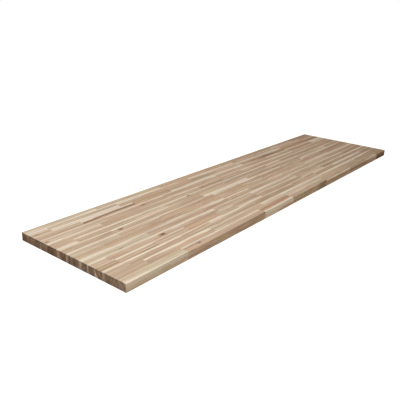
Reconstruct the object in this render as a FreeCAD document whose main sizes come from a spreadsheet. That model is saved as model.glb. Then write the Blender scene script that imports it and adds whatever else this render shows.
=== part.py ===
import FreeCAD, Part
import math
import os

import Sketcher
from FreeCAD import Vector

# Butcher block countertop
#
# A kitchen worktop glued up from solid staves of one hardwood. The staves are ripped to one
# width, laid end to end in rows, and the rows are glued side by side. Every stave is as thick
# as the top, so its end grain shows at the two ends and its long grain along the two edges.
# The glued panel is then squared to size, sanded flush, and its sharp edges are eased.
#
# X runs along the length, Y from the front edge to the back edge, and Z up. The origin is the
# middle of the underside. All sizes are in millimetres.

doc = FreeCAD.newDocument("butcher_block_countertop")

# Driving dimensions

DIMENSIONS = {
    "top_length": 2489.2,     # 98 in, end to end
    "top_width": 635.0,       # 25 in, the usual depth of a kitchen worktop
    "top_thickness": 38.1,    # 1 1/2 in
    "stave_width": 42.33,     # the staves are ripped to fifteen rows across 25 in
    "glue_line": 0.1,         # film of glue between the butted ends of two staves
    "edge_ease": 2.0,         # radius sanded on every outer edge
}

# The cut list: the length of each stave in a row, from the left end to the right. The first row
# lies along the front edge. The last stave of a row is cut off flush with the end of the top, so
# it has no length of its own here: it takes what is left.
CUT_LIST = [
    [341, 576, 275, 386, 330, 428],
    [168, 410, 412, 195, 455, 470, 285],
    [112, 318, 200, 358, 382, 270, 255, 415],
    [97, 211, 200, 230, 140, 210, 432, 275, 290],
    [85, 325, 360, 315, 435, 315, 370],
    [350, 395, 185, 205, 345, 288, 277],
    [150, 353, 422, 259, 171, 440, 340],
    [262, 260, 406, 237, 195, 252, 243, 230],
    [265, 260, 353, 402, 345, 275, 370],
    [103, 542, 480, 435, 168, 362, 210],
    [75, 210, 450, 230, 195, 210, 345, 263, 332],
    [330, 405, 450, 181, 346, 271, 315],
    [235, 325, 257, 661, 202, 300, 330],
    [97, 391, 162, 380, 220, 210, 240, 280, 320],
    [385, 430, 400, 275, 440, 285],
]

sizes = doc.addObject("Spreadsheet::Sheet", "sizes")
for line, (alias, value) in enumerate(DIMENSIONS.items(), start=1):
    sizes.set(f"A{line}", alias)
    sizes.set(f"B{line}", str(value))
    sizes.setAlias(f"B{line}", alias)


def cut_alias(row, stave):
    """The cell that holds the length of one stave of the cut list."""
    return f"row{row:02d}_stave{stave:02d}"


first_cut_line = len(DIMENSIONS) + 2
for row, lengths in enumerate(CUT_LIST, start=1):
    line = first_cut_line + row
    sizes.set(f"A{line}", f"row {row:02d}")
    for stave, length in enumerate(lengths, start=1):
        cell = f"{chr(ord('A') + stave)}{line}"
        sizes.set(cell, str(length))
        sizes.setAlias(cell, cut_alias(row, stave))
doc.recompute()
longest_stave = max(
    getattr(sizes, cut_alias(row, stave))
    for row, lengths in enumerate(CUT_LIST, start=1)
    for stave in range(1, len(lengths) + 1)
)


# The squared panel with its eased edges, which every row is trimmed to

def make_panel():
    """A block of the finished size: a rectangle about the origin, raised, its edges rounded."""
    body = doc.addObject("PartDesign::Body", "squared_panel")
    floor_plane = next(plane for plane in body.Origin.OriginFeatures if plane.Role == "XY_Plane")
    sketch = body.newObject("Sketcher::SketchObject", "panel_outline")
    sketch.AttachmentSupport = (floor_plane, [""])
    sketch.MapMode = "FlatFace"

    half_length, half_width = sizes.top_length / 2, sizes.top_width / 2
    corners = [
        Vector(-half_length, -half_width, 0),
        Vector(half_length, -half_width, 0),
        Vector(half_length, half_width, 0),
        Vector(-half_length, half_width, 0),
    ]
    front, right, back, left = range(4)
    start, end, origin = 1, 2, (-1, 1)
    for side in (front, right, back, left):
        sketch.addGeometry(Part.LineSegment(corners[side], corners[(side + 1) % 4]), False)
    for side in (front, right, back, left):
        sketch.addConstraint(Sketcher.Constraint("Coincident", side, end, (side + 1) % 4, start))
    for side in (front, back):
        sketch.addConstraint(Sketcher.Constraint("Horizontal", side))
    for side in (right, left):
        sketch.addConstraint(Sketcher.Constraint("Vertical", side))
    sketch.addConstraint(Sketcher.Constraint("Symmetric", front, start, back, start, *origin))
    for name, kind, side, alias in (
        ("long_side", "DistanceX", front, "top_length"),
        ("short_side", "DistanceY", right, "top_width"),
    ):
        value = getattr(sizes, alias)
        size = sketch.addConstraint(Sketcher.Constraint(kind, side, start, side, end, value))
        sketch.renameConstraint(size, name)
        sketch.setExpression(f"Constraints.{name}", f"sizes.{alias}")

    pad = body.newObject("PartDesign::Pad", "panel_thickness")
    pad.Profile = sketch
    pad.setExpression("Length", "sizes.top_thickness")
    doc.recompute()

    ease = body.newObject("PartDesign::Fillet", "eased_edges")
    ease.Base = (pad, [""])
    ease.UseAllEdges = True
    ease.setExpression("Radius", "sizes.edge_ease")
    body.Tip = ease
    return body


# Staves and rows

def staves_in_row(row):
    """The cut list of one row, up to the last stave that ends short of the end of the top.

    The stave after it takes what is left. It is never shorter than it is wide, so the one
    before it runs on instead, and never longer than the longest stave of the cut list, so the
    row of a longer top starts on its first stave again.
    """
    laid = []
    reach = 0
    while True:
        for stave in range(1, len(CUT_LIST[row - 1]) + 1):
            alias = cut_alias(row, stave)
            reach += getattr(sizes, alias)
            if sizes.top_length - reach < sizes.stave_width:
                return laid
            laid.append(alias)
        if sizes.top_length - reach <= longest_stave:
            return laid


def make_stave(name, before, cut, front_side, width):
    """One stave: it starts where those before it end, a glue line short of its cut length.

    The stave with no cut length is the last of its row and ends with the top.
    """
    stave = doc.addObject("Part::Box", name)
    start = " + ".join(["0"] + [f"sizes.{alias}" for alias in before])
    if cut:
        length = f"sizes.{cut} - sizes.glue_line"
    else:
        length = f"sizes.top_length - ({start})"
    stave.setExpression("Length", length)
    stave.setExpression("Width", width)
    stave.setExpression("Height", "sizes.top_thickness")
    stave.setExpression("Placement.Base.x", f"{start} - sizes.top_length / 2")
    stave.setExpression("Placement.Base.y", front_side)
    return stave


def make_row(row, row_count, panel):
    """A row of staves, trimmed to the squared panel."""
    front_side = f"{row - 1} * sizes.stave_width - sizes.top_width / 2"
    width = "sizes.stave_width"
    if row == row_count:
        width = f"sizes.top_width - {row - 1} * sizes.stave_width"

    pattern = (row - 1) % len(CUT_LIST) + 1
    cuts = staves_in_row(pattern)
    staves = []
    for number, cut in enumerate(cuts + [None], start=1):
        name = f"stave_{row:02d}_{number:02d}"
        staves.append(make_stave(name, cuts[:number - 1], cut, front_side, width))

    glued = doc.addObject("Part::Compound", f"glued_row_{row:02d}")
    glued.Links = staves
    trimmed = doc.addObject("Part::Common", f"trimmed_row_{row:02d}")
    trimmed.Base = glued
    trimmed.Tool = panel
    trimmed.Label = f"stave_row_{row:02d}"
    trimmed.Placement = FreeCAD.Placement()
    return trimmed, len(staves)


# A last row thinner than a few hundredths of a stave would be sawdust, so it isn't laid.
THINNEST_ROW = 0.02

row_count = math.ceil(sizes.top_width / sizes.stave_width - THINNEST_ROW)
panel = make_panel()
rows = [make_row(row, row_count, panel) for row in range(1, row_count + 1)]
doc.recompute()

# Checks before anything is written

for thing in doc.Objects:
    if {"Invalid", "Error"} & set(thing.State):
        raise RuntimeError(f"{thing.Label} failed: {thing.State}")
for row, stave_count in rows:
    if row.Shape.isNull() or not row.Shape.isValid():
        raise RuntimeError(f"{row.Label} has no valid shape")
    if len(row.Shape.Solids) != stave_count:
        raise RuntimeError(f"{row.Label} has {len(row.Shape.Solids)} solids for {stave_count} staves")

os.makedirs("parts", exist_ok=True)
for row, stave_count in rows:
    row.Shape.exportStep(f"parts/{row.Label}.step")
    print(row.Label, stave_count, "staves,", round(row.Shape.Volume / 1000), "cm3")

box = Part.makeCompound([row.Shape for row, _ in rows]).BoundBox
print("top", round(box.XLength, 2), "x", round(box.YLength, 2), "x", round(box.ZLength, 2), "mm")
print(sum(stave_count for _, stave_count in rows), "staves in", row_count, "rows")
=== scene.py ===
# %% [markdown]
# # A butcher block countertop
#
# The real thing is a slab of solid hardwood, about 2.5 m long. Staves of one width are glued end
# to end in rows and the rows are glued side by side, then the slab is planed, sanded and cut
# square. Its whole look is in the wood: pale sapwood along one edge of most staves, darker
# heartwood beside it, a few knots and dark streaks, and end grain on the short sides.
#
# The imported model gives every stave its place. Here each row is modelled again with clean
# edges, and each stave is told how it was cut from its log, so that one material can draw
# the growth rings through it and the top, the edges and the end grain agree.

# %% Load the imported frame
import math
import random

import bmesh
import bpy
from mathutils import Matrix, Vector


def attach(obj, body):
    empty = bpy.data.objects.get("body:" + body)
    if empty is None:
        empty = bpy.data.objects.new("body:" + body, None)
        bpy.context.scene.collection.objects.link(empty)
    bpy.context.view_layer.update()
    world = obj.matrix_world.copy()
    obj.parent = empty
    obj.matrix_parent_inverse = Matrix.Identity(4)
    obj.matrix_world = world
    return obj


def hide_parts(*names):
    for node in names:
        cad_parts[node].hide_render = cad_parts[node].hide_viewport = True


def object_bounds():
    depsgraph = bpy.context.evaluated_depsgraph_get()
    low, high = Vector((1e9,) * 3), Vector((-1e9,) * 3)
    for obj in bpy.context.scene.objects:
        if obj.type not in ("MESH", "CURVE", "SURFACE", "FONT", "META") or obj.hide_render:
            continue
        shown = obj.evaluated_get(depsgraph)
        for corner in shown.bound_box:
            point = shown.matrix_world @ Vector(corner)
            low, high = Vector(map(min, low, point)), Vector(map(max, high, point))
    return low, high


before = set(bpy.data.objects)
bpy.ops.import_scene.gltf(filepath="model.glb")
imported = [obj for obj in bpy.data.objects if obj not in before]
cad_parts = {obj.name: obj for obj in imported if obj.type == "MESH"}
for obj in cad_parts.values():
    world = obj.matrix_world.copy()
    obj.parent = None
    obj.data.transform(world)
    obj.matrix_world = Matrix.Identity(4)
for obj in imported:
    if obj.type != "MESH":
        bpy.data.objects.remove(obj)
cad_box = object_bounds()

MM = 0.001
ROW_NODES = sorted(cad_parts)
low, high = cad_box
print("slab", [round(side / MM, 1) for side in high - low], "mm,", len(ROW_NODES), "rows")

# %% [markdown]
# ## Where each stave lies
#
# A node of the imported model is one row, and the staves in it are separate shells a glue line
# apart. Their places could be typed in again, but reading them from the node keeps the two
# models together: if the cut list changes, this script follows. The node's mesh is loose
# triangles, so a copy of it is welded first, and then each connected shell is one stave.

# %% Measure the staves of a row
WELD = 0.01 * MM          # corners this near each other are one


def shells(mesh):
    """The lowest and highest corner of each connected shell of a mesh, from left to right."""
    welded = bmesh.new()
    welded.from_mesh(mesh)
    bmesh.ops.remove_doubles(welded, verts=welded.verts, dist=WELD)
    unseen = set(welded.verts)
    found = []
    while unseen:
        shell = {unseen.pop()}
        edge_of_search = set(shell)
        while edge_of_search:
            neighbours = {e.other_vert(v) for v in edge_of_search for e in v.link_edges}
            edge_of_search = neighbours - shell
            shell |= edge_of_search
        unseen -= shell
        corners = [Vector(map(pick, zip(*(v.co for v in shell)))) for pick in (min, max)]
        found.append(corners)
    welded.free()
    return sorted(found, key=lambda corners: corners[0].x)


row_staves = [shells(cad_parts[name].data) for name in ROW_NODES]
print([len(staves) for staves in row_staves], "staves, front row first")

# %% [markdown]
# ## The lumber
#
# A maker sorts staves by eye, and this list gives each stave one by one: it could be left to
# chance, but then the slab would be another one. Each stave is named by its heartwood, with the
# width of the pale sapwood on its top face in millimetres: positive along its back edge, negative
# along its front edge. A streak is mineral stain that follows the rings: its place from the middle
# of the stave towards the back, its half width, and how dark it is. The pith is the heart of the
# log: how far it was from the middle of the stave, across and up. It is left to chance where neither
# the end nor the front of the stave shows. The figure is how strongly the grain shows: a plain
# stave has less than 1 and a lively one more.

# %% Colours of the wood
HEARTWOOD = {
    "cream": "#E2CEB8",
    "oat": "#DDC2A9",
    "apricot": "#D6B89E",
    "straw": "#D0BAA1",
    "honey": "#CDB49A",
    "wheat": "#C7B399",
    "peach": "#CCAF94",
    "tan": "#C5AC92",
    "biscuit": "#C6A990",
    "rose": "#C5A78C",
    "sand": "#C2A88F",
    "copper": "#C5A488",
    "fawn": "#C0A58B",
    "driftwood": "#BEA58D",
    "hazel": "#BDA086",
    "russet": "#C09D81",
    "brown": "#B79980",
    "umber": "#B19377",
}
SAPWOOD = "#E8D8C3"


def linear(colour):
    """An sRGB hex colour as linear red, green, blue and alpha."""
    channels = [int(colour[i:i + 2], 16) / 255 for i in (1, 3, 5)]
    return [c / 12.92 if c <= 0.04045 else ((c + 0.055) / 1.055) ** 2.4 for c in channels] + [1.0]


print(len(HEARTWOOD), "heartwoods, from", min(HEARTWOOD.values()), "to", max(HEARTWOOD.values()))

# %% The staves of each row, from the left end
def wood(heart, sap=0, streak=(0, 1, 0), pith=None, figure=1):
    """A stave as the maker sees it. Without more words it is all heartwood with no streak."""
    return {"heart": heart, "sap": sap, "streak": streak, "pith": pith, "figure": figure}


LUMBER = [
    [wood("wheat", -10, pith=(60, -34), figure=0.6), wood("biscuit", 9),
     wood("russet", -13, (6, 10, 0.32), (70, -33)), wood("tan", 8, figure=1.4),
     wood("peach", -5, (-9, 9, 0.12), (70, -60)), wood("fawn", -3, pith=(70, -60)),
     wood("brown", 0, (-33, 14, 0.85), (90, 60), figure=1.4)],
    [wood("tan", pith=(90, 40), figure=0.5), wood("hazel", 12), wood("honey", 1), wood("straw", 16),
     wood("straw", 19), wood("honey", 15, figure=1.4), wood("hazel", 13), wood("umber", 5)],
    [wood("sand", 10, pith=(80, 30)), wood("fawn", 10),
     wood("tan", 3, (-9, 6, 0.2), figure=1.4), wood("tan", 12, (-17, 5, 0.3)),
     wood("peach", 9, (-9, 5, 0.15), figure=1.4), wood("rose", 3, figure=1.4), wood("rose", 9),
     wood("fawn", 20, (-12, 5, 0.2)), wood("brown", 7)],
    [wood("hazel", 3, (-10, 5, 0.35), (70, 40), figure=1.4), wood("fawn", 10, figure=1.4),
     wood("tan", 6), wood("copper", -2), wood("tan", 9, figure=1.8), wood("rose", -11),
     wood("rose", 8, (-2, 5, 0.15)), wood("honey", -6), wood("hazel", 12),
     wood("hazel", 16, (-9, 6, 0.25), figure=1.4)],
    [wood("honey", 8, pith=(60, 10)), wood("biscuit", 12, (-12, 4, 0.3)),
     wood("sand", 15, (-14, 4, 0.2)), wood("honey", 4), wood("honey", 18, (-7, 5, 0.15)),
     wood("tan", 10), wood("fawn", 12, (-2, 5, 0.1)), wood("brown", 7)],
    [wood("wheat", 10, pith=(80, 5)), wood("biscuit", 7, (5, 8, 0.12), figure=1.4), wood("fawn", 7),
     wood("fawn", 9, figure=1.8), wood("peach", 7), wood("driftwood", 10, figure=1.4),
     wood("honey", 3, figure=1.4), wood("fawn", 9)],
    [wood("tan", -5, pith=(90, 20), figure=0.7), wood("fawn", -3, figure=0.5),
     wood("hazel", -10, figure=1.8), wood("peach", figure=1.8), wood("peach", 3, figure=1.4),
     wood("apricot"), wood("biscuit", -16), wood("biscuit", -9)],
    [wood("straw", 12, pith=(80, 0), figure=1.4), wood("sand", 10, figure=1.4),
     wood("peach", 3, figure=1.4), wood("hazel", 14), wood("peach", 10, figure=1.4), wood("hazel", 13),
     wood("honey", 5, figure=1.4), wood("biscuit", 17, (0, 8, 0.25), figure=0.7),
     wood("hazel", 13, (-8, 5, 0.15))],
    [wood("sand", 6, pith=(70, 10), figure=1.4), wood("sand", 12), wood("tan", 2), wood("honey", -20),
     wood("peach", 8, figure=1.4), wood("biscuit", 13), wood("straw", 4, figure=1.4), wood("fawn", 8)],
    [wood("biscuit", -20, pith=(60, 0)), wood("tan", 12, figure=1.8), wood("biscuit", 10),
     wood("fawn", 13, figure=1.4), wood("apricot", 21), wood("fawn", 9, figure=1.4),
     wood("biscuit", 7, figure=1.4), wood("copper", 6)],
    [wood("driftwood", 13, pith=(90, -20), figure=1.8), wood("honey", 12), wood("rose", 4),
     wood("biscuit", 7), wood("hazel", 6, (-7, 4, 0.2)), wood("biscuit", figure=1.4),
     wood("rose", 6, figure=1.4), wood("honey", 12, (0, 8, 0.15), figure=0.7), wood("peach", 6),
     wood("fawn", 4)],
    [wood("straw", 4, pith=(70, 10)), wood("biscuit", 8), wood("peach", 4, figure=1.4),
     wood("peach", -5), wood("biscuit", -8, figure=1.4), wood("peach", 12, (0, 8, 0.1)),
     wood("copper", 10, (-4, 8, 0.3), figure=1.4), wood("cream", 7, figure=0.7)],
    [wood("tan", 5, pith=(70, -60)), wood("hazel", 16, (-5, 9, 0.8)), wood("copper", -4),
     wood("tan", -22), wood("rose", -5, (3, 8, 0.3), figure=1.4),
     wood("russet", 8, (-2, 6, 0.4), figure=1.8), wood("russet", -2, (3, 9, 0.15), figure=1.4),
     wood("umber", -4)],
    [wood("honey", 14, pith=(60, -24)), wood("tan", -22), wood("sand", 13), wood("rose", 7),
     wood("sand", 19), wood("oat", 6, figure=0.7), wood("biscuit", -17, figure=1.4),
     wood("biscuit", -19, figure=1.8), wood("apricot"), wood("biscuit", -6)],
    [wood("wheat", -17, pith=(60, -70)), wood("wheat", -6), wood("peach"), wood("peach"),
     wood("fawn", -4), wood("fawn", -8), wood("brown")],
]
for row, (staves, lumber) in enumerate(zip(row_staves, LUMBER), start=1):
    print("row", row, "has", len(staves), "staves and", len(lumber), "in the lumber")

# %% [markdown]
# Knots are listed by where they lie: the row, the distance from the left end, and the distance
# from the middle of the row towards the back. Then come the half width and half length of the
# knot, and how dark it is. A long one is a patch of stain, such as the one that starts at the
# front edge and runs down the front face. A stave has one of these at most.

# %% The knots
KNOTS = [
    (1, 435, 0, 5, 11, 0.5),
    (1, 1530, -25, 9, 60, 0.35),
    (5, 392, -3, 8, 18, 0.75),
    (6, 178, -15, 3, 15, 0.45),
    (9, 306, -4, 7, 12, 0.6),
    (9, 1565, -8, 3, 10, 0.45),
    (10, 827, 9, 4, 11, 0.9),
    (11, 980, -2, 3, 14, 0.45),
    (12, 14, -8, 4, 11, 0.65),
    (12, 574, 0, 4, 16, 0.75),
    (13, 811, 7, 5, 7, 0.4),
    (13, 1770, -2, 6, 90, 0.7),
    (13, 2400, -4, 4, 20, 0.5),
    (14, 25, -8, 3, 9, 0.5),
]
print(len(KNOTS), "knots and stains, the largest", max(2 * knot[4] for knot in KNOTS), "mm long")

# %% [markdown]
# End grain dries darker in some logs than in others. At the left end, where it shows, the tone
# of each row is given.

# %% End grain of the rows
END_TONES = {"pale": "#F8F5F0", "ashen": "#E4E1DC", "brown": "#DCD2CB", "dark": "#C8B5A8"}
LEFT_ENDS = [
    "pale", "pale", "ashen", "pale", "ashen", "ashen", "brown", "brown",
    "brown", "brown", "dark", "ashen", "brown", "brown", "dark",
]
print(len(LEFT_ENDS), "left ends,", LEFT_ENDS.count("dark"), "of them dark")

# %% [markdown]
# ## How each stave was cut from its log
#
# Growth rings are cylinders round the pith, so a stave's grain depends on where the pith was
# when the log was sawn. The grain could be painted face by face, but a solid pattern turns every
# corner by itself. So each stave gets a pith beside it, on the side away from the sapwood, and a
# small slope, because no stave is sawn quite along the fibres. The sapwood is all that lies
# outside one radius. These facts are kept as attributes on the stave's corners, and the
# material reads them there. Each stave has its own seed, so a change to one leaves the rest.

# %% Facts of one stave
PITH_BESIDE = (35, 120)    # mm from the middle of the stave to the pith, across the top
PITH_HEIGHT = 70           # mm that the pith may lie above or below the middle of the stave
ALL_HEART = 25             # mm of heartwood beyond the far corner of a stave with no sapwood
GRAIN_SLOPE = 0.025        # mm that the grain wanders sideways for each mm along the stave
LOG_REACH = 900            # mm, so that no two staves share a piece of the pattern


def saw(stave, corners, chance, end_tone):
    """The attributes of one stave, in millimetres from its own middle."""
    half = (corners[1] - corners[0]) / 2 / MM
    at, half_width, dark = stave["streak"]
    sap_side = math.copysign(1, stave["sap"] or at or chance.choice((-1, 1)))
    anywhere = (chance.uniform(*PITH_BESIDE), chance.uniform(-PITH_HEIGHT, PITH_HEIGHT))
    beside, height = stave["pith"] or anywhere
    if stave["sap"]:
        sap_radius = math.hypot(beside + half.y - abs(stave["sap"]), half.z - height)
    else:
        sap_radius = math.hypot(beside + half.y, half.z + abs(height)) + ALL_HEART
    streak_radius = math.hypot(beside + sap_side * at, half.z - height)
    slope = chance.uniform(-GRAIN_SLOPE, GRAIN_SLOPE)
    return {
        "stave_middle": (corners[0] + corners[1]) / 2,
        "pith": Vector((slope, -sap_side * beside, height)),
        "rings": Vector((sap_radius, streak_radius, half_width)),
        "half_size": half,
        "log": Vector([chance.uniform(-LOG_REACH, LOG_REACH) for _ in range(3)]),
        "knot": Vector((0, 0, 0)),
        "knot_form": Vector((1, 0, dark)),
        "figure": Vector((stave["figure"], 0, 0)),
        "end_tone": Vector(linear(END_TONES[end_tone])[:3]),
        "heartwood": Vector(linear(HEARTWOOD[stave["heart"]])[:3]),
    }


print("a pith lies", PITH_BESIDE[0], "to", PITH_BESIDE[1], "mm beside the middle of its stave")

# %% Facts of all staves
row_facts = []
for row, (staves, lumber) in enumerate(zip(row_staves, LUMBER), start=1):
    facts = []
    for number, (stave, corners) in enumerate(zip(lumber, staves)):
        chance = random.Random(100 * row + number)
        end_tone = chance.choice(list(END_TONES)) if number else LEFT_ENDS[row - 1]
        facts.append(saw(stave, corners, chance, end_tone))
    row_facts.append(facts)

placed = 0
for row, from_left, off_middle, half_width, half_length, dark in KNOTS:
    at = low.x + from_left * MM
    for mine, corners in zip(row_facts[row - 1], row_staves[row - 1]):
        if corners[0].x < at < corners[1].x:
            mine["knot"] = Vector(((at - mine["stave_middle"].x) / MM, off_middle, half_width))
            mine["knot_form"] = Vector((half_length, dark, mine["knot_form"].z))
            placed += 1
print(placed, "knots placed in", sum(len(facts) for facts in row_facts), "staves")

# %% [markdown]
# ## The rows
#
# The staves could be boxes with a Bevel modifier, but that would round the glued edges too.
# Only the outside of the slab is sanded round. So each stave starts as a cube, scaled and moved
# to its place, and only edges that lie on two outer faces are bevelled. The glued edges stay
# sharp and flush with their neighbours.

# %% Model one row
EDGE_EASE = 2 * MM
EASE_STEPS = 4            # flat steps that round an edge
ON_FACE = 0.02 * MM       # a point this near an outer face lies on it
FACTS = list(row_facts[0][0])


def outer_faces(point):
    """How many of the slab's six outer faces a point lies on."""
    return sum(
        abs(point[axis] - side[axis]) < ON_FACE for side in (low, high) for axis in range(3)
    )


def model_row(name, staves, facts):
    """A row of staves as one mesh, with each stave's facts on its corners."""
    row = bmesh.new()
    layers = {title: row.verts.layers.float_vector.new(title) for title in FACTS}
    for corners, mine in zip(staves, facts):
        cube = bmesh.ops.create_cube(row, size=1)
        bmesh.ops.scale(row, vec=corners[1] - corners[0], verts=cube["verts"])
        bmesh.ops.translate(row, vec=mine["stave_middle"], verts=cube["verts"])
        for vert in cube["verts"]:
            for title, layer in layers.items():
                vert[layer] = mine[title]
    outer = [e for e in row.edges if outer_faces((e.verts[0].co + e.verts[1].co) / 2) > 1]
    eased = bmesh.ops.bevel(
        row, geom=outer, offset=EDGE_EASE, segments=EASE_STEPS, profile=0.5,
        affect="EDGES", material=-1,
    )
    for face in eased["faces"]:
        face.smooth = True
    bmesh.ops.recalc_face_normals(row, faces=row.faces)
    mesh = bpy.data.meshes.new(name)
    row.to_mesh(mesh)
    row.free()
    piece = bpy.data.objects.new(name, mesh)
    bpy.context.scene.collection.objects.link(piece)
    return piece


print("each corner of a stave carries", len(FACTS), "facts")

# %% Model all rows
rows = []
for node, staves, facts in zip(ROW_NODES, row_staves, row_facts):
    piece = model_row(node.replace("stave_row", "wood_row"), staves, facts)
    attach(piece, "root")
    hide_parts(node)
    rows.append(piece)
print(len(rows), "rows,", sum(len(piece.data.polygons) for piece in rows), "faces")

# %% [markdown]
# ## Sanded acacia
#
# Bare acacia, planed and sanded but not oiled: matte, with long straight grain, open pores and
# a strong contrast between cream sapwood and tan to brown heartwood. The material is solid. It
# works out, for each point, how far that point is from the pith of its own stave, and colours
# it by that radius. All lengths in it are millimetres.

# %% A function that adds a node
acacia = bpy.data.materials.new("sanded_acacia")
acacia.use_nodes = True
tree = acacia.node_tree
tree.nodes.clear()


def add_node(kind, settings, inputs):
    """Adds a node to the tree, sets it, links or sets its inputs, and returns its outputs."""
    node = tree.nodes.new(kind)
    for name, value in settings.items():
        setattr(node, name, value)
    for name, value in inputs.items():
        if isinstance(value, bpy.types.NodeSocket):
            tree.links.new(value, node.inputs[name])
        else:
            node.inputs[name].default_value = value
    return node.outputs


print(acacia.name, "starts with", len(tree.nodes), "nodes")

# %% Read the stave's facts
read, parts = {}, {}
for title in FACTS:
    read[title] = add_node("ShaderNodeAttribute", {"attribute_name": title}, {})["Vector"]
    parts[title] = add_node("ShaderNodeSeparateXYZ", {}, {0: read[title]})
print("the material reads", ", ".join(FACTS))

# %% Where the point is in its stave and in its log
place = add_node("ShaderNodeTexCoord", {}, {})
from_middle = add_node(
    "ShaderNodeVectorMath", {"operation": "SUBTRACT"}, {0: place["Object"], 1: read["stave_middle"]}
)[0]
in_stave = add_node(
    "ShaderNodeVectorMath", {"operation": "SCALE"}, {0: from_middle, "Scale": 1 / MM}
)[0]
in_log = add_node("ShaderNodeVectorMath", {"operation": "ADD"}, {0: in_stave, 1: read["log"]})[0]
along, across, up = add_node("ShaderNodeSeparateXYZ", {}, {0: in_stave})
print(len(tree.nodes), "nodes place a point in its stave")

# %% [markdown]
# Everything that isn't regular in wood comes from noise that is drawn out along the log. The
# slow bend moves the rings a few millimetres to and fro, because a trunk is never a straight
# cylinder. Fibres and pores are finer than the picture can show, so both are drawn a little
# coarser than they are: fibres one to two millimetres wide, and pores as short dashes.

# %% Noise along the grain
GRAINS = {                    # mm along the log, mm across it, and how many finer layers
    "bend": (180, 40, 2),
    "lines": (420, 4.5, 3),
    "fibres": (120, 1.6, 2),
    "pores": (16, 1.4, 1),
    "figure": (150, 20, 2),
}
grain = {}
for title, (length, width, detail) in GRAINS.items():
    drawn_out = add_node(
        "ShaderNodeVectorMath", {"operation": "MULTIPLY"},
        {0: in_log, 1: (1 / length, 1 / width, 1 / width)},
    )[0]
    grain[title] = add_node(
        "ShaderNodeTexNoise", {}, {"Vector": drawn_out, "Scale": 1.0, "Detail": detail}
    )

WAVE_SIZE = 8                 # mm that the bend moves the rings
bend = add_node(
    "ShaderNodeVectorMath", {"operation": "MULTIPLY_ADD"},
    {0: grain["bend"]["Color"], 1: [2 * WAVE_SIZE] * 3, 2: [-WAVE_SIZE] * 3},
)[0]
bend = add_node("ShaderNodeSeparateXYZ", {}, {0: bend})
print(len(GRAINS), "noises, the finest", min(width for _, width, _ in GRAINS.values()), "mm wide")

# %% [markdown]
# Round a knot the grain parts, like water round a stone. The distance to the knot is measured
# in knot sizes. A little noise is added to it, so that no knot is a clean ellipse.

# %% Distance to the knot
RAGGED = 0.5         # knot sizes that the outline of a knot is ragged
PARTING = 1.2        # knot sizes that the grain is pushed aside at the knot
PARTS_FROM = 3.0     # knot sizes from the knot where the grain starts to part
PARTS_FULLY = 0.3    # knot sizes from it where the grain is pushed aside all the way
LEAST_KNOT = 0.01    # mm, because a stave with no knot has a knot size of nought

knot_along, knot_across, knot_half_width = parts["knot"]
knot_half_length, knot_dark, streak_dark = parts["knot_form"]
sides = []
for where, middle, half in (
    (along, knot_along, knot_half_length),
    (across, knot_across, knot_half_width),
):
    off = add_node("ShaderNodeMath", {"operation": "SUBTRACT"}, {0: where, 1: middle})[0]
    size = add_node("ShaderNodeMath", {"operation": "MAXIMUM"}, {0: half, 1: LEAST_KNOT})[0]
    sides.append(add_node("ShaderNodeMath", {"operation": "DIVIDE"}, {0: off, 1: size})[0])
to_knot = add_node("ShaderNodeCombineXYZ", {}, {0: sides[0], 1: sides[1]})[0]
to_knot = add_node("ShaderNodeVectorMath", {"operation": "LENGTH"}, {0: to_knot})["Value"]
ragged = add_node(
    "ShaderNodeMath", {"operation": "MULTIPLY_ADD"},
    {0: grain["fibres"]["Fac"], 1: RAGGED, 2: -RAGGED / 2},
)[0]
to_knot = add_node("ShaderNodeMath", {"operation": "ADD"}, {0: to_knot, 1: ragged})[0]

near_knot = add_node(
    "ShaderNodeMapRange", {"interpolation_type": "SMOOTHERSTEP"},
    {"Value": to_knot, "From Min": PARTS_FULLY, "From Max": PARTS_FROM,
     "To Min": PARTING, "To Max": 0.0},
)[0]
parting = add_node(
    "ShaderNodeMath", {"operation": "MULTIPLY"}, {0: near_knot, 1: knot_half_width}
)[0]
print("the grain parts out to", PARTS_FROM, "knot sizes")

# %% Distance from the pith
slope, pith_across, pith_up = parts["pith"]
drift = add_node("ShaderNodeMath", {"operation": "MULTIPLY_ADD"}, {0: along, 1: slope, 2: bend[1]})[0]
off_pith = []
for where, middle, moved in ((across, pith_across, drift), (up, pith_up, bend[2])):
    straight = add_node("ShaderNodeMath", {"operation": "SUBTRACT"}, {0: where, 1: middle})[0]
    off_pith.append(add_node("ShaderNodeMath", {"operation": "ADD"}, {0: straight, 1: moved})[0])
from_pith = add_node("ShaderNodeCombineXYZ", {}, {1: off_pith[0], 2: off_pith[1]})[0]
radius = add_node("ShaderNodeVectorMath", {"operation": "LENGTH"}, {0: from_pith})["Value"]
ring_radius = add_node("ShaderNodeMath", {"operation": "ADD"}, {0: radius, 1: parting})[0]
print(len(tree.nodes), "nodes up to the radius")

# %% [markdown]
# The rings themselves are 3 to 4 mm apart, and each ends in a thin darker line of late wood.
# Wider and narrower stripes of colour follow the same radius: good and bad years.

# %% Rings and stripes
RING = 3.6           # mm from one ring to the next
LATE_WOOD = 3.0      # the higher this power, the thinner the dark line at the end of a ring
STRIPE = 8           # mm, the grain of the wide stripes
STRIPE_RUN = 700     # mm that a wide stripe runs before it changes
FINER_STRIPES = 4    # how many times narrower stripes are laid over the wide ones
FINER_SHARE = 0.68   # how strong each is, beside the one before it

in_ring = add_node("ShaderNodeMath", {"operation": "DIVIDE"}, {0: ring_radius, 1: RING})[0]
in_ring = add_node("ShaderNodeMath", {"operation": "FRACT"}, {0: in_ring})[0]
late_wood = add_node("ShaderNodeMath", {"operation": "POWER"}, {0: in_ring, 1: LATE_WOOD})[0]

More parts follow.
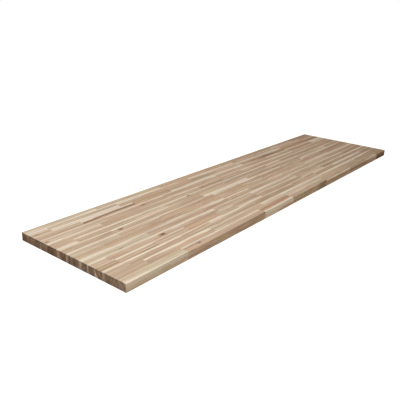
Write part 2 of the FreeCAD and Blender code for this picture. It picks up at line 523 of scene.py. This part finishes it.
log_along = add_node("ShaderNodeSeparateXYZ", {}, {0: in_log})[0]
stripe_along = add_node("ShaderNodeMath", {"operation": "DIVIDE"}, {0: log_along, 1: STRIPE_RUN})[0]
stripe_out = add_node("ShaderNodeMath", {"operation": "DIVIDE"}, {0: ring_radius, 1: STRIPE})[0]
stripe_place = add_node(
    "ShaderNodeCombineXYZ", {}, {0: stripe_along, 1: stripe_out, 2: parts["log"][2]}
)[0]
stripes = add_node(
    "ShaderNodeTexNoise", {},
    {"Vector": stripe_place, "Scale": 1.0, "Detail": FINER_STRIPES, "Roughness": FINER_SHARE},
)["Fac"]
print("a ring every", RING, "mm and stripes", STRIPE, "mm wide")

# %% [markdown]
# Heartwood begins where the radius falls below the sapwood's. It is lightest there and
# deepens over the next rings.

# %% Sapwood, heartwood and stain
SAP_BLUR = 2.5       # mm to either side of the line where sapwood turns to heartwood
DEEPENS_OVER = 22    # mm of heartwood that deepen from the lightest tone to the full one
NEW_HEART = 1.1      # how much lighter the youngest heartwood is
STAIN = "#61391F"

depth = add_node("ShaderNodeMath", {"operation": "SUBTRACT"}, {0: parts["rings"][0], 1: radius})[0]
is_heart = add_node(
    "ShaderNodeMapRange", {"interpolation_type": "SMOOTHSTEP"},
    {"Value": depth, "From Min": -SAP_BLUR, "From Max": SAP_BLUR},
)[0]
young = add_node(
    "ShaderNodeMapRange", {},
    {"Value": depth, "From Min": 0, "From Max": DEEPENS_OVER, "To Min": NEW_HEART, "To Max": 1.0},
)[0]
heart = add_node(
    "ShaderNodeVectorMath", {"operation": "SCALE"}, {0: read["heartwood"], "Scale": young}
)[0]

from_streak = add_node(
    "ShaderNodeMath", {"operation": "SUBTRACT"}, {0: radius, 1: parts["rings"][1]}
)[0]
from_streak = add_node("ShaderNodeMath", {"operation": "ABSOLUTE"}, {0: from_streak})[0]
stained = add_node(
    "ShaderNodeMapRange", {"interpolation_type": "SMOOTHSTEP"},
    {"Value": from_streak, "From Min": 0.0, "From Max": parts["rings"][2],
     "To Min": streak_dark, "To Max": 0.0},
)[0]
heart = add_node("ShaderNodeMix", {"data_type": "RGBA"}, {0: stained, 6: heart, 7: linear(STAIN)})[2]
colour = add_node(
    "ShaderNodeMix", {"data_type": "RGBA"}, {0: is_heart, 6: linear(SAPWOOD), 7: heart}
)[2]
print("sapwood turns to heartwood over", 2 * SAP_BLUR, "mm")

# %% [markdown]
# Pores and dark veins are thin and far between. So each shows only where its noise runs far from
# its middle value.

# %% Pores and veins
PORE = (0.62, 0.72)      # the noise of the pores where a pore begins, and where it is at its full
VEIN = (0.42, 0.32)      # the same for a dark vein in the noise of the lines

is_pore, is_vein = [
    add_node("ShaderNodeMapRange", {}, {"Value": value, "From Min": begins, "From Max": full})[0]
    for value, (begins, full) in ((grain["pores"]["Fac"], PORE), (grain["lines"]["Fac"], VEIN))
]
print("a pore begins at", PORE[0], "and a vein at", VEIN[0])

# %% [markdown]
# Rings, lines, fibres and pores each make the wood a little lighter or darker. Mixing a colour
# for each would take many nodes, so every pattern gives a brightness instead, and the
# brightnesses are multiplied. The rings are stronger across the cut fibres of an end than along
# them. Each pattern is listed with its span, and with its brightness at either end of the span.
# Along the grain, sapwood shows them more faintly than heartwood does.

# %% Shading of the wood
SAP_CONTRAST = 0.6       # how strongly the patterns show along the grain of sapwood
HEART_CONTRAST = 1.08    # and of heartwood
SHADING = {
    "along": (
        (stripes, 0.25, 0.75, 0.78, 1.26),
        (late_wood, 0, 1, 1.03, 0.9),
        (grain["lines"]["Fac"], 0.3, 0.7, 0.84, 1.15),
        (grain["fibres"]["Fac"], 0.3, 0.7, 0.92, 1.07),
        (grain["figure"]["Fac"], 0.3, 0.7, 0.97, 1.03),
        (is_vein, 0, 1, 1.0, 0.76),
        (is_pore, 0, 1, 1.0, 0.8),
    ),
    "end": (
        (stripes, 0.3, 0.7, 0.8, 1.22),
        (late_wood, 0, 1, 1.1, 0.7),
        (grain["figure"]["Fac"], 0.3, 0.7, 0.8, 1.2),
    ),
}
shade = {}
for way, patterns in SHADING.items():
    shade[way] = 1.0
    for value, low_value, high_value, low_tone, high_tone in patterns:
        tone = add_node(
            "ShaderNodeMapRange", {"clamp": False},
            {"Value": value, "From Min": low_value, "From Max": high_value,
             "To Min": low_tone, "To Max": high_tone},
        )[0]
        shade[way] = add_node("ShaderNodeMath", {"operation": "MULTIPLY"}, {0: shade[way], 1: tone})[0]
contrast = add_node(
    "ShaderNodeMapRange", {},
    {"Value": is_heart, "To Min": SAP_CONTRAST, "To Max": HEART_CONTRAST},
)[0]
contrast = add_node(
    "ShaderNodeMath", {"operation": "MULTIPLY"}, {0: contrast, 1: parts["figure"][0]}
)[0]
shade["along"] = add_node(
    "ShaderNodeMath", {"operation": "POWER"}, {0: shade["along"], 1: contrast}
)[0]
colour = add_node(
    "ShaderNodeVectorMath", {"operation": "SCALE"}, {0: colour, "Scale": shade["along"]}
)[0]
print({way: len(patterns) for way, patterns in SHADING.items()}, "patterns")

# %% [markdown]
# Dark stripes are also a touch redder than light ones, and within one stave the wood leans
# here to pink and there to olive.

# %% Hues of the wood
HUES = (                      # the pattern, where its hue begins and is at its full, and the hue
    (stripes, 0.5, 0.25, "#FFF5ED"),
    (grain["figure"]["Fac"], 0.5, 0.3, "#FFF8F6"),
    (grain["figure"]["Fac"], 0.5, 0.7, "#FAFFF8"),
)
for value, hue_from, hue_to, hue in HUES:
    leaning = add_node(
        "ShaderNodeMapRange", {}, {"Value": value, "From Min": hue_from, "From Max": hue_to}
    )[0]
    colour = add_node(
        "ShaderNodeMix", {"data_type": "RGBA", "blend_type": "MULTIPLY"},
        {0: leaning, 6: colour, 7: linear(hue)},
    )[2]
print(len(tree.nodes), "nodes so far")

# %% [markdown]
# A knot is the end grain of a branch, so it has rings of its own, close together, in darker wood
# than the trunk's. The wood round it is stained, and fades back to its own colour.

# %% Colour the knots
KNOT = "#5A4536"
ROUND_KNOT = "#8F6A50"
KNOT_RINGS = 4       # from the middle of a knot to its edge
RING_LIGHT = 1.35    # brightness of a knot's ring where it begins
RING_DARK = 0.6      # and where it ends

branch_ring = add_node("ShaderNodeMath", {"operation": "MULTIPLY"}, {0: to_knot, 1: KNOT_RINGS})[0]
branch_ring = add_node("ShaderNodeMath", {"operation": "FRACT"}, {0: branch_ring})[0]
branch_ring = add_node(
    "ShaderNodeMapRange", {}, {"Value": branch_ring, "To Min": RING_LIGHT, "To Max": RING_DARK}
)[0]
branch = add_node(
    "ShaderNodeVectorMath", {"operation": "SCALE"}, {0: linear(KNOT)[:3], "Scale": branch_ring}
)[0]
KNOT_LAYERS = (      # colour, knot sizes where it starts to fade and where it is gone, strength
    (linear(ROUND_KNOT), 0.6, 2.2, 0.7),
    (branch, 0.5, 1.0, 1.0),
)
for layer_colour, fades_from, gone_at, strength in KNOT_LAYERS:
    layer = add_node(
        "ShaderNodeMapRange", {"interpolation_type": "SMOOTHSTEP"},
        {"Value": to_knot, "From Min": fades_from, "From Max": gone_at,
         "To Min": strength, "To Max": 0.0},
    )[0]
    layer = add_node("ShaderNodeMath", {"operation": "MULTIPLY"}, {0: layer, 1: knot_dark})[0]
    colour = add_node(
        "ShaderNodeMix", {"data_type": "RGBA"}, {0: layer, 6: colour, 7: layer_colour}
    )[2]
print("a knot shows", KNOT_RINGS, "rings")

# %% [markdown]
# ## End grain and glue
#
# Cut across, the fibres drink in the light: end grain is the same wood, darker and a bit greyer.
# The face's own direction says which it is, so no second material is needed. A glue line is a
# hair of darker colour along the glued edges of a stave, and never along the outside of the
# slab.

# %% End grain
END_OF_HEART = "#CDCAD1"
END_OF_SAP = "#E3DEDC"
TURNS_FROM = 0.5     # how far a face has turned to the end where end grain begins to show
TURNED = 0.95        # and where it shows in full, so the change lies in the eased edge

face_way = add_node("ShaderNodeSeparateXYZ", {}, {0: place["Normal"]})[0]
face_way = add_node("ShaderNodeMath", {"operation": "ABSOLUTE"}, {0: face_way})[0]
is_end = add_node(
    "ShaderNodeMapRange", {"interpolation_type": "SMOOTHSTEP"},
    {"Value": face_way, "From Min": TURNS_FROM, "From Max": TURNED},
)[0]
end_shade = add_node(
    "ShaderNodeMix", {"data_type": "RGBA"},
    {0: is_heart, 6: linear(END_OF_SAP), 7: linear(END_OF_HEART)},
)[2]
end_shade = add_node(
    "ShaderNodeVectorMath", {"operation": "MULTIPLY"}, {0: end_shade, 1: read["end_tone"]}
)[0]
end_shade = add_node(
    "ShaderNodeVectorMath", {"operation": "SCALE"}, {0: end_shade, "Scale": shade["end"]}
)[0]
colour = add_node(
    "ShaderNodeMix", {"data_type": "RGBA", "blend_type": "MULTIPLY"},
    {0: is_end, 6: colour, 7: end_shade},
)[2]
print("end grain keeps", END_OF_HEART, "of the heartwood's colour and", END_OF_SAP, "of the sapwood's")

# %% Glue lines
GLUE_WIDTH = 0.5     # mm, drawn wider than it is so that it shows
GLUE_STRENGTH = 0.5  # share of the glue's colour at the edge itself
GLUE_SHADE = "#8A7058"
OUTSIDE = 3 * MM     # this near an outer face of the slab there is no glue

glue = 0.0
in_slab = add_node("ShaderNodeSeparateXYZ", {}, {0: place["Object"]})
for axis, where in ((0, along), (1, across)):
    off_middle = add_node("ShaderNodeMath", {"operation": "ABSOLUTE"}, {0: where})[0]
    to_edge = add_node(
        "ShaderNodeMath", {"operation": "SUBTRACT"}, {0: parts["half_size"][axis], 1: off_middle}
    )[0]
    line = add_node(
        "ShaderNodeMapRange", {"interpolation_type": "SMOOTHSTEP"},
        {"Value": to_edge, "From Min": 0.0, "From Max": GLUE_WIDTH,
         "To Min": GLUE_STRENGTH, "To Max": 0.0},
    )[0]
    from_centre = add_node("ShaderNodeMath", {"operation": "ABSOLUTE"}, {0: in_slab[axis]})[0]
    inside = add_node(
        "ShaderNodeMath", {"operation": "LESS_THAN"}, {0: from_centre, 1: high[axis] - OUTSIDE}
    )[0]
    line = add_node("ShaderNodeMath", {"operation": "MULTIPLY"}, {0: line, 1: inside})[0]
    glue = add_node("ShaderNodeMath", {"operation": "MAXIMUM"}, {0: glue, 1: line})[0]
colour = add_node(
    "ShaderNodeMix", {"data_type": "RGBA"}, {0: glue, 6: colour, 7: linear(GLUE_SHADE)}
)[2]
print("glue lines", GLUE_WIDTH, "mm wide")

# %% [markdown]
# Sanding leaves the surface matte. The soft early wood is cut a little lower than the late wood
# and the pores stay open, and both give the light a fine grain to catch. That relief is a few
# hundredths of a millimetre, so it is bump: cut into the mesh it would take millions of faces.

# %% Surface
ROUGH = (0.62, 0.75)      # the smoothest and the roughest fibres
RELIEF = 0.05 * MM        # how deep a pore is, and how far late wood stands above early wood
RELIEF_SHOWS = 0.5        # share of the relief that the light catches
WOOD_IOR = 1.45
SHINE = 0.12              # little, because bare fibres scatter what they reflect

roughness = add_node(
    "ShaderNodeMapRange", {},
    {"Value": grain["fibres"]["Fac"], "To Min": ROUGH[0], "To Max": ROUGH[1]},
)[0]
height = add_node("ShaderNodeMath", {"operation": "SUBTRACT"}, {0: late_wood, 1: is_pore})[0]
height = add_node("ShaderNodeMath", {"operation": "ADD"}, {0: height, 1: grain["fibres"]["Fac"]})[0]
bumpy = add_node(
    "ShaderNodeBump", {}, {"Strength": RELIEF_SHOWS, "Distance": RELIEF, "Height": height}
)[0]
surface = add_node(
    "ShaderNodeBsdfPrincipled", {},
    {"Base Color": colour, "Roughness": roughness, "Normal": bumpy, "IOR": WOOD_IOR,
     "Specular IOR Level": SHINE},
)[0]
add_node("ShaderNodeOutputMaterial", {}, {"Surface": surface})
for piece in rows:
    piece.data.materials.append(acacia)
print(len(tree.nodes), "nodes in", acacia.name)

# %% [markdown]
# ## Floor and background
#
# The photograph is cut out on plain white. More light would make a grey floor white, but it would
# bleach the wood too. So the floor glows a little for the camera alone, which makes it white
# almost everywhere, and it still takes the slab's soft shadow.

# %% Floor
FLOOR_HALF = 40           # m from the middle of the floor to its edge
FLOOR_DROP = 0.2 * MM     # so that the floor and the slab's underside don't share one plane

floor_shape = bmesh.new()
bmesh.ops.create_grid(floor_shape, x_segments=1, y_segments=1, size=FLOOR_HALF)
bmesh.ops.translate(floor_shape, vec=(0, 0, -FLOOR_DROP), verts=floor_shape.verts)
floor_mesh = bpy.data.meshes.new("floor")
floor_shape.to_mesh(floor_mesh)
floor_shape.free()
floor = bpy.data.objects.new("floor", floor_mesh)
bpy.context.scene.collection.objects.link(floor)
print("floor", 2 * FLOOR_HALF, "m wide")

# %% Paper on the floor
GLOW = 0.83               # of white, to the camera alone
PAPER = "#CDC4B8"

paper = bpy.data.materials.new("white_paper")
paper.use_nodes = True
tree = paper.node_tree
tree.nodes.clear()
seen = add_node("ShaderNodeLightPath", {}, {})["Is Camera Ray"]
matte = add_node("ShaderNodeBsdfDiffuse", {}, {"Color": linear(PAPER)})[0]
glow = add_node("ShaderNodeMath", {"operation": "MULTIPLY"}, {0: seen, 1: GLOW})[0]
glow = add_node("ShaderNodeEmission", {}, {"Color": (1, 1, 1, 1), "Strength": glow})[0]
white = add_node("ShaderNodeAddShader", {}, {0: matte, 1: glow})[0]
add_node("ShaderNodeOutputMaterial", {}, {"Surface": white})
floor_mesh.materials.append(paper)
print("the paper glows", GLOW, "of white")

# %% [markdown]
# The room's own light comes from all round and is faintly warm. The camera and the mirrors would
# show that as a cream backdrop, so to them the world is plain white.

# %% World
AMBIENT = 0.44            # of white
ROOM_LIGHT = "#FFF8F0"

world = bpy.data.worlds.new("studio")
bpy.context.scene.world = world
world.use_nodes = True
tree = world.node_tree
tree.nodes.clear()
path = add_node("ShaderNodeLightPath", {}, {})
shown = path["Is Camera Ray"]
for ray in ("Is Glossy Ray", "Is Transmission Ray"):
    shown = add_node("ShaderNodeMath", {"operation": "MAXIMUM"}, {0: shown, 1: path[ray]})[0]
strength = add_node("ShaderNodeMapRange", {}, {"Value": shown, "To Min": AMBIENT, "To Max": 1.0})[0]
tint = add_node(
    "ShaderNodeMix", {"data_type": "RGBA"}, {0: shown, 6: linear(ROOM_LIGHT), 7: (1, 1, 1, 1)}
)[2]
sky = add_node("ShaderNodeBackground", {}, {"Color": tint, "Strength": strength})[0]
add_node("ShaderNodeOutputWorld", {}, {"Surface": sky})
print("room light", AMBIENT, "of white")

# %% [markdown]
# ## Light
#
# A ring of lamps would light the slab evenly, but the photograph isn't lit that way. One large
# soft lamp stands over the left end, so the wood is brightest there and dims towards the far
# right end. Its light is a shade cooler than the room's.

# %% Lamp
LAMP_PLACE = Vector((-1.25, -0.45, 1.9))
LAMP_TARGET = Vector((-0.8, 0, 0))
LAMP_SIZE = 1.2           # m
LAMP_POWER = 26.5         # W
LAMP_LIGHT = "#F0F8FF"

lamp = bpy.data.lights.new("soft_box", "AREA")
lamp.shape = "SQUARE"
lamp.size = LAMP_SIZE
lamp.energy = LAMP_POWER
lamp.color = linear(LAMP_LIGHT)[:3]
stand = bpy.data.objects.new("soft_box", lamp)
stand.location = LAMP_PLACE
stand.rotation_euler = (LAMP_TARGET - LAMP_PLACE).to_track_quat("-Z", "Y").to_euler()
bpy.context.scene.collection.objects.link(stand)
print("soft box", LAMP_SIZE, "m wide,", LAMP_POWER, "W")

# %% [markdown]
# ## Camera
#
# The camera stands beyond the near left corner at a bit under a metre above the slab's underside,
# and is tipped about two degrees, as the photograph's lines show. It could be aimed by a Track To
# constraint, but a matrix of its three directions keeps the tip as a plain value.

# %% Camera
CAMERA_PLACE = Vector((-2.336, -1.492, 0.974))
LOOKS_TOWARDS = math.radians(38.17)     # from the slab's length towards its back edge
LOOKS_DOWN = math.radians(21.06)
TIPPED = math.radians(2.08)             # its right side is up by this much
PICTURE_WIDTH = 400                     # pixels
PICTURE_DISTANCE = 516.6                # from the eye to the picture, in the same pixels
SENSOR = 36                             # mm wide

forward = Vector((
    math.cos(LOOKS_DOWN) * math.cos(LOOKS_TOWARDS),
    math.cos(LOOKS_DOWN) * math.sin(LOOKS_TOWARDS),
    -math.sin(LOOKS_DOWN),
))
level_right = forward.cross(Vector((0, 0, 1))).normalized()
level_up = level_right.cross(forward)
right = level_right * math.cos(TIPPED) + level_up * math.sin(TIPPED)
above = right.cross(forward)
turn = Matrix((right, above, -forward)).transposed()
lens = bpy.data.cameras.new("camera")
lens.sensor_width = SENSOR
lens.lens = SENSOR * PICTURE_DISTANCE / PICTURE_WIDTH
camera = bpy.data.objects.new("camera", lens)
camera.matrix_world = Matrix.Translation(CAMERA_PLACE) @ turn.to_4x4()
bpy.context.scene.collection.objects.link(camera)
bpy.context.scene.camera = camera
bpy.context.scene.view_settings.view_transform = "Standard"
print("lens", round(lens.lens, 1), "mm")
